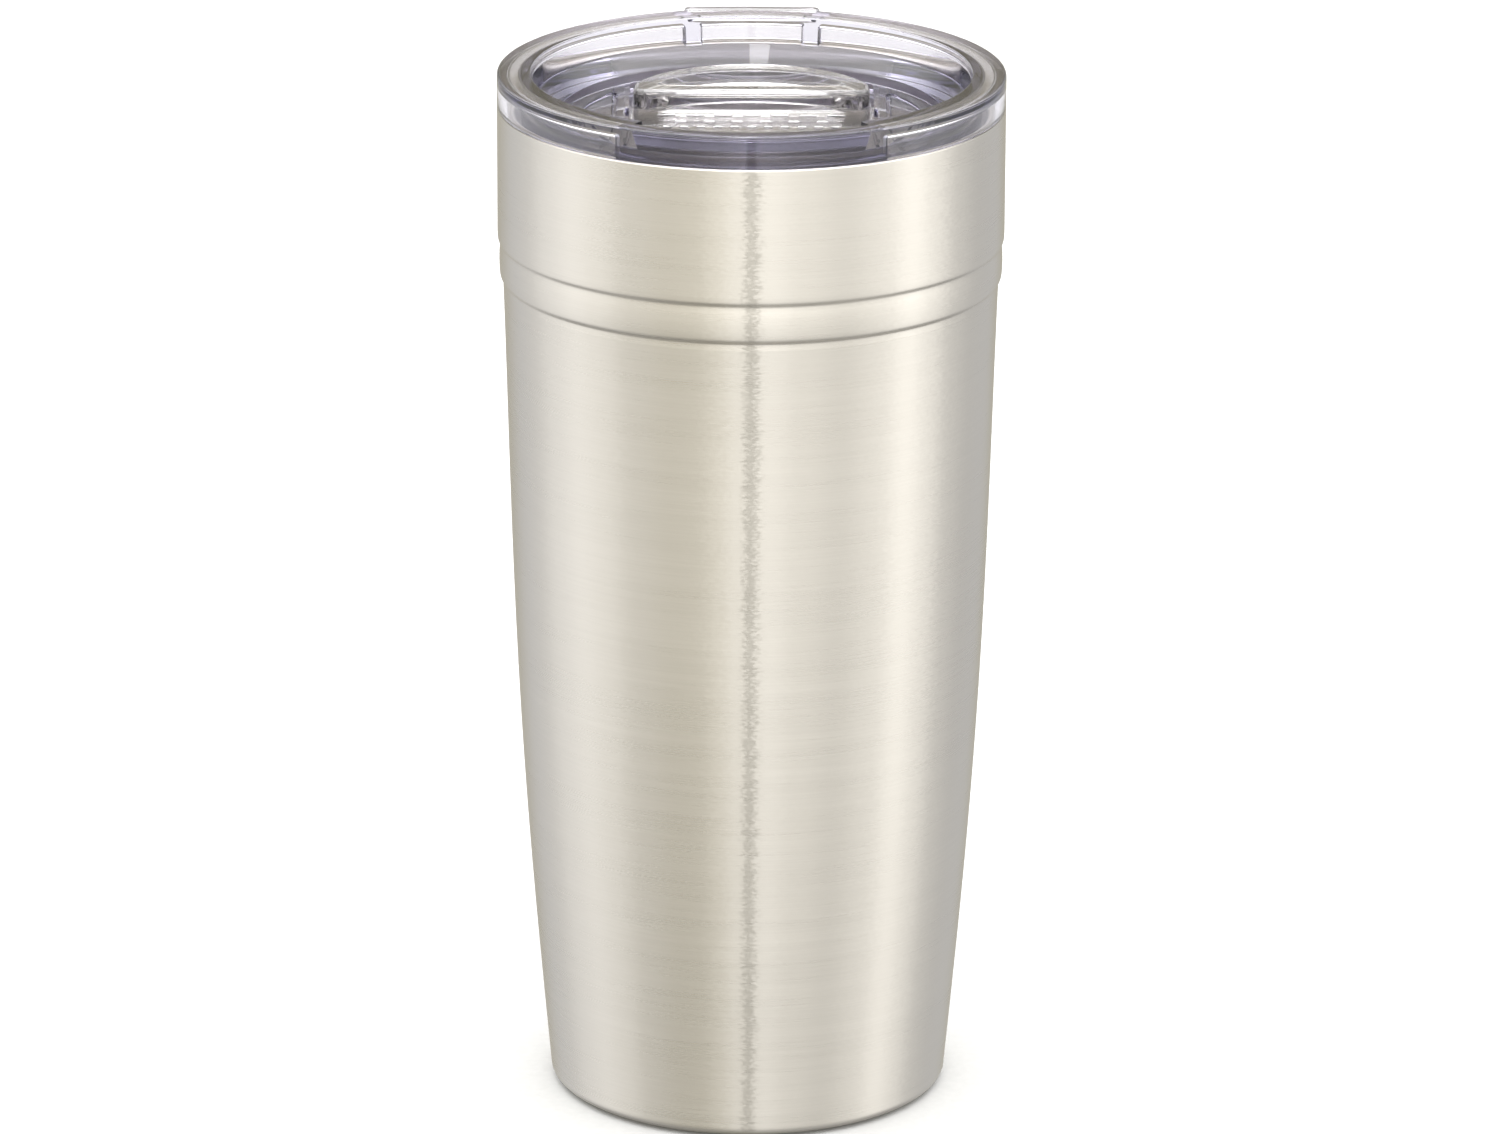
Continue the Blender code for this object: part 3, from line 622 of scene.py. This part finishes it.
# Rows of grip dashes in front of the pad: y, number, pitch and length
DASH_ROWS = ((2.6, 7, 4.9, 3.2), (-1.6, 6, 4.9, 2.0), (-5.2, 11, 2.9, 1.5))


def slider_back(inset):
    """The rounded back, from the right side round to the left."""
    radius = SLIDER_BACK[0] - inset
    side = math.degrees(math.acos((SLIDER_HALF_W - inset) / radius))
    return arc(radius, side, 180 - side, 32, (0, SLIDER_BACK[1]))


def make_dash(middle, row_y, length):
    """One raised dash with round ends, as a tool."""
    left, right = middle - length / 2, middle + length / 2
    front, back = row_y - 0.45, row_y + 0.45
    plan = rounded([(left, front, 0.4), (right, front, 0.4), (right, back, 0.4), (left, back, 0.4)],
                   steps=3)
    return block("tool", plan, SLIDER_Z[1] - 0.2, SLIDER_Z[1] + 0.35, top_round=0.15, round_steps=2)


def make_slider(material):
    """Sliding closure: plate with side tongues, raised thumb pad with a dish, and rows of grip dashes."""
    front = math.degrees(math.acos(SLIDER_HALF_W / SLIDER_FRONT_R))
    bow = arc(SLIDER_FRONT_R, 180 + front, 360 - front, 24)
    plate = [(x, y, 0) for x, y in slider_back(0)] + [(*bow[0], 1.0)] + [(x, y, 0) for x, y in bow[1:-1]]
    plate = rounded(plate + [(*bow[-1], 1.0)], steps=5)
    slider = block("slider_clear", plate, *SLIDER_Z, material, top_round=0.25, foot_round=0.25,
                   round_steps=3)
    half = SLIDER_HALF_W - PAD_INSET
    pad = [(x, y, 0) for x, y in slider_back(PAD_INSET)]
    pad[0] = (*pad[0][:2], 3.5)
    pad[-1] = (*pad[-1][:2], 3.5)
    pad = rounded(pad + [(-half, 7.0, 2.0), (half, 7.0, 2.0)], steps=6)
    carve(slider, block("tool", pad, SLIDER_Z[1] - 0.6, PAD_TOP_Z, top_round=1.1, round_steps=6), "UNION")
    dish_r = (DISH_HALF_W ** 2 + DISH_DEEP ** 2) / (2 * DISH_DEEP)
    dish = [(-y, x + DISH_BACK_Y - dish_r) for x, y in dee(dish_r - DISH_DEEP, dish_r, 1.0)]
    carve(slider, block("tool", dish, 176.4, PAD_TOP_Z + 0.4, foot_round=1.0, draw_in=0.84, round_steps=5))
    tongue = [(-21.9, -19.0), (21.9, -19.0), (21.9, 14.0), (-21.9, 14.0)]
    carve(slider, block("tool", tongue, SLIDER_Z[0] + 0.05, 173.8), "UNION")
    for row_y, count, pitch, length in DASH_ROWS:
        for index in range(count):
            middle = (index - (count - 1) / 2) * pitch
            dash = make_dash(middle, row_y, length)
            carve(slider, dash, "UNION")
    settle(slider, 32)
    show(slider, "slider", "slider")


# ---------------------------------------------------------------- studio

# The white tent round the tumbler: (degrees round from the front, brightness, warmth). The two panels
# either side of the camera leave a narrow gap between them, which shows as the dark line down the steel.
TENT = ((-180, 0.46, 0.24), (-160, 0.58, 0.10), (-135, 0.83, -0.05), (-124, 0.93, -0.03),
        (-104, 1.28, -0.03), (-88, 1.49, -0.02), (-74, 1.37, 0.00), (-56, 1.06, 0.04), (-38, 0.97, 0.09),
        (-26, 1.03, 0.09), (-15, 1.33, 0.06), (-7, 1.62, 0.02), (-2.6, 1.84, 0.01), (-1.2, 0.60, 0.08),
        (2.0, 0.60, 0.08), (3.4, 1.88, 0.00), (10, 1.74, 0.00), (24, 1.48, 0.01), (44, 1.24, 0.01),
        (62, 1.45, 0.00), (79, 1.86, -0.01), (92, 1.49, -0.01), (108, 0.95, -0.02), (124, 0.75, -0.03),
        (146, 0.72, -0.04), (160, 0.57, 0.10), (180, 0.46, 0.24))
TENT_TOP = 4.2                # overhead, where the panels have given way to the tent's lit roof
TENT_LOW = 0.36               # how much of the panels' light is left at their dim lower ends


def add_panels(tree, place):
    """The tent's brightness by direction round the tumbler's axis."""
    turn = add_node(tree, "ShaderNodeMapping", None,
                    {"Vector": (place, "Generated"), "Rotation": (0, 0, math.pi / 2)})
    round_angle = add_node(tree, "ShaderNodeTexGradient", {"gradient_type": "RADIAL"},
                           {"Vector": (turn, "Vector")})
    panels = add_node(tree, "ShaderNodeValToRGB", None, {"Fac": (round_angle, "Fac")})
    panels.color_ramp.interpolation = "EASE"
    points = panels.color_ramp.elements
    while len(points) < len(TENT):
        points.new(0.5)
    for point, (degrees, bright, warm) in zip(points, TENT):
        point.position = degrees / 360 + 0.5
        point.color = (bright * (1 + 0.3 * warm), bright, bright * (1 - warm), 1.0)
    return panels


def make_tent():
    world = bpy.data.worlds.new("white_tent")
    world.use_nodes = True
    tree = world.node_tree
    tree.nodes.clear()
    place = add_node(tree, "ShaderNodeTexCoord")
    panels = add_panels(tree, place)
    height = add_node(tree, "ShaderNodeSeparateXYZ", None, {"Vector": (place, "Generated")})
    depth = add_node(tree, "ShaderNodeVectorMath", {"operation": "DOT_PRODUCT"},
                     {0: (place, "Generated"), 1: (0, 0.12, 1)})      # the dim ends reach higher in front
    low = add_node(tree, "ShaderNodeMapRange", {"interpolation_type": "SMOOTHSTEP"},
                   {"Value": (depth, "Value"), "From Min": -0.70, "From Max": -0.36,
                    "To Min": TENT_LOW, "To Max": 1.0})
    fade = add_node(tree, "ShaderNodeMapRange", {"interpolation_type": "SMOOTHSTEP"},
                    {"Value": (height, "Z"), "From Min": 0.36, "From Max": 0.80})
    roof = add_node(tree, "ShaderNodeMixRGB", None,
                    {"Fac": (fade, "Result"), "Color1": (panels, "Color"),
                     "Color2": (TENT_TOP, TENT_TOP, TENT_TOP, 1.0)})
    lit = add_node(tree, "ShaderNodeBackground", None,
                   {"Color": (roof, "Color"), "Strength": (low, "Result")})
    plain = add_node(tree, "ShaderNodeBackground", None, {"Color": linear("#F8F8F8")})
    seen = add_node(tree, "ShaderNodeLightPath")
    both = add_node(tree, "ShaderNodeMixShader", None, {0: (seen, "Is Camera Ray"),
                                                        1: (lit, "Background"), 2: (plain, "Background")})
    end = add_node(tree, "ShaderNodeOutputWorld")
    tree.links.new(both.outputs["Shader"], end.inputs["Surface"])
    bpy.context.scene.world = world


def overhead_softbox():
    """A long strip light straight above, for the shadow under the tumbler and the lid's glints."""
    data = bpy.data.lights.new("overhead_softbox", "AREA")
    data.shape = "RECTANGLE"
    data.size, data.size_y = 0.10, 0.9
    data.energy = 1.6
    light = bpy.data.objects.new("overhead_softbox", data)
    light.location = (-0.04, 0.0, 1.3)
    light.visible_camera = False
    bpy.context.scene.collection.objects.link(light)


def paper_floor():
    """Seamless white paper, with the faint tooth of uncoated stock."""
    material, tree, place = new_material("paper_white")
    tooth = grain(tree, place, (600, 600, 600), 3.0, 0.6)
    tone = add_node(tree, "ShaderNodeValToRGB", None, {"Fac": (tooth, "Fac")})
    set_ramp(tone, ((0.3, "#ADADAC"), (0.7, "#B2B2B1")))
    shader = add_node(tree, "ShaderNodeBsdfPrincipled", None,
                      {"Base Color": (tone, "Color"), "Roughness": 0.85, "Specular IOR Level": 0.2})
    close_material(tree, shader)
    return material


def make_studio():
    bm = bmesh.new()
    bmesh.ops.create_grid(bm, x_segments=1, y_segments=1, size=6.0)
    floor = finish_piece("paper_floor", bm, paper_floor())
    floor.location.z = -0.0002
    floor.visible_glossy = False                  # the steel reflects the tent's lit floor, not bare paper
    make_tent()
    overhead_softbox()
    scene = bpy.context.scene
    scene.view_settings.view_transform = "Standard"
    scene.cycles.max_bounces = 24                 # light goes many times through the lid and round the cup
    scene.cycles.glossy_bounces = 12
    scene.cycles.transmission_bounces = 24


# ---------------------------------------------------------------- the tumbler

def main():
    add_camera()
    body_steel = brushed_stainless("stainless_18_8_brushed", ("#CDC8BE", "#D3CEC4"), roughness=0.28,
                                   lines_per_mm=4.0, relief_mm=0.001, lean=0.02, anisotropy=1.0)
    liner_steel = brushed_stainless("stainless_18_8_satin", ("#E5E1DA", "#EDEAE4"), roughness=0.42,
                                    lines_per_mm=3.0, relief_mm=0.002, lean=0.0, anisotropy=0.5)
    weld_steel = plain_metal("stainless_ground_weld", ("#B7B2A8", "#C6C1B7"), (0.28, 0.4), 2200, 0.01)
    make_shell(body_steel)
    make_liner(liner_steel)
    make_lip_weld(weld_steel)
    make_cover(spun_stainless())
    lid_plastic = clear_copolyester("copolyester_clear_moulded", "#FCFBFB", absorb="#5C4E98", density=66.0,
                                    rough_range=(0.012, 0.04), satin_above=LID_TOP_Z - 0.2)
    slider_plastic = clear_copolyester("copolyester_slider_moulded", "#FDFCFB", absorb="#A39C9C",
                                       density=18.0, rough_range=(0.015, 0.06))
    make_lid(lid_plastic)
    make_gasket(silicone_ring())
    make_slider(slider_plastic)
    sheet = plain_metal("stainless_mill_sheet", ("#A7A6A2", "#B9B8B4"), (0.35, 0.5), 1500, 0.01)
    inner_finishes = {
        "vacuum_base": sheet,
        "getter_clip": sheet,
        "vent_seal": plain_metal("braze_alloy_bead", ("#9C8350", "#B59A66"), (0.35, 0.55), 1800, 0.03),
        "getter": plain_metal("sintered_getter_alloy", ("#2E2E30", "#47474A"), (0.7, 0.9), 5200, 0.06, 0.6),
        "radiation_foil": plain_metal("copper_foil_bright", ("#B4693F", "#CB8358"), (0.18, 0.34), 420,
                                      0.08),
    }
    for node, finish in inner_finishes.items():
        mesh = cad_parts[node].data
        mesh.materials.clear()
        mesh.materials.append(finish)
    make_studio()


main()
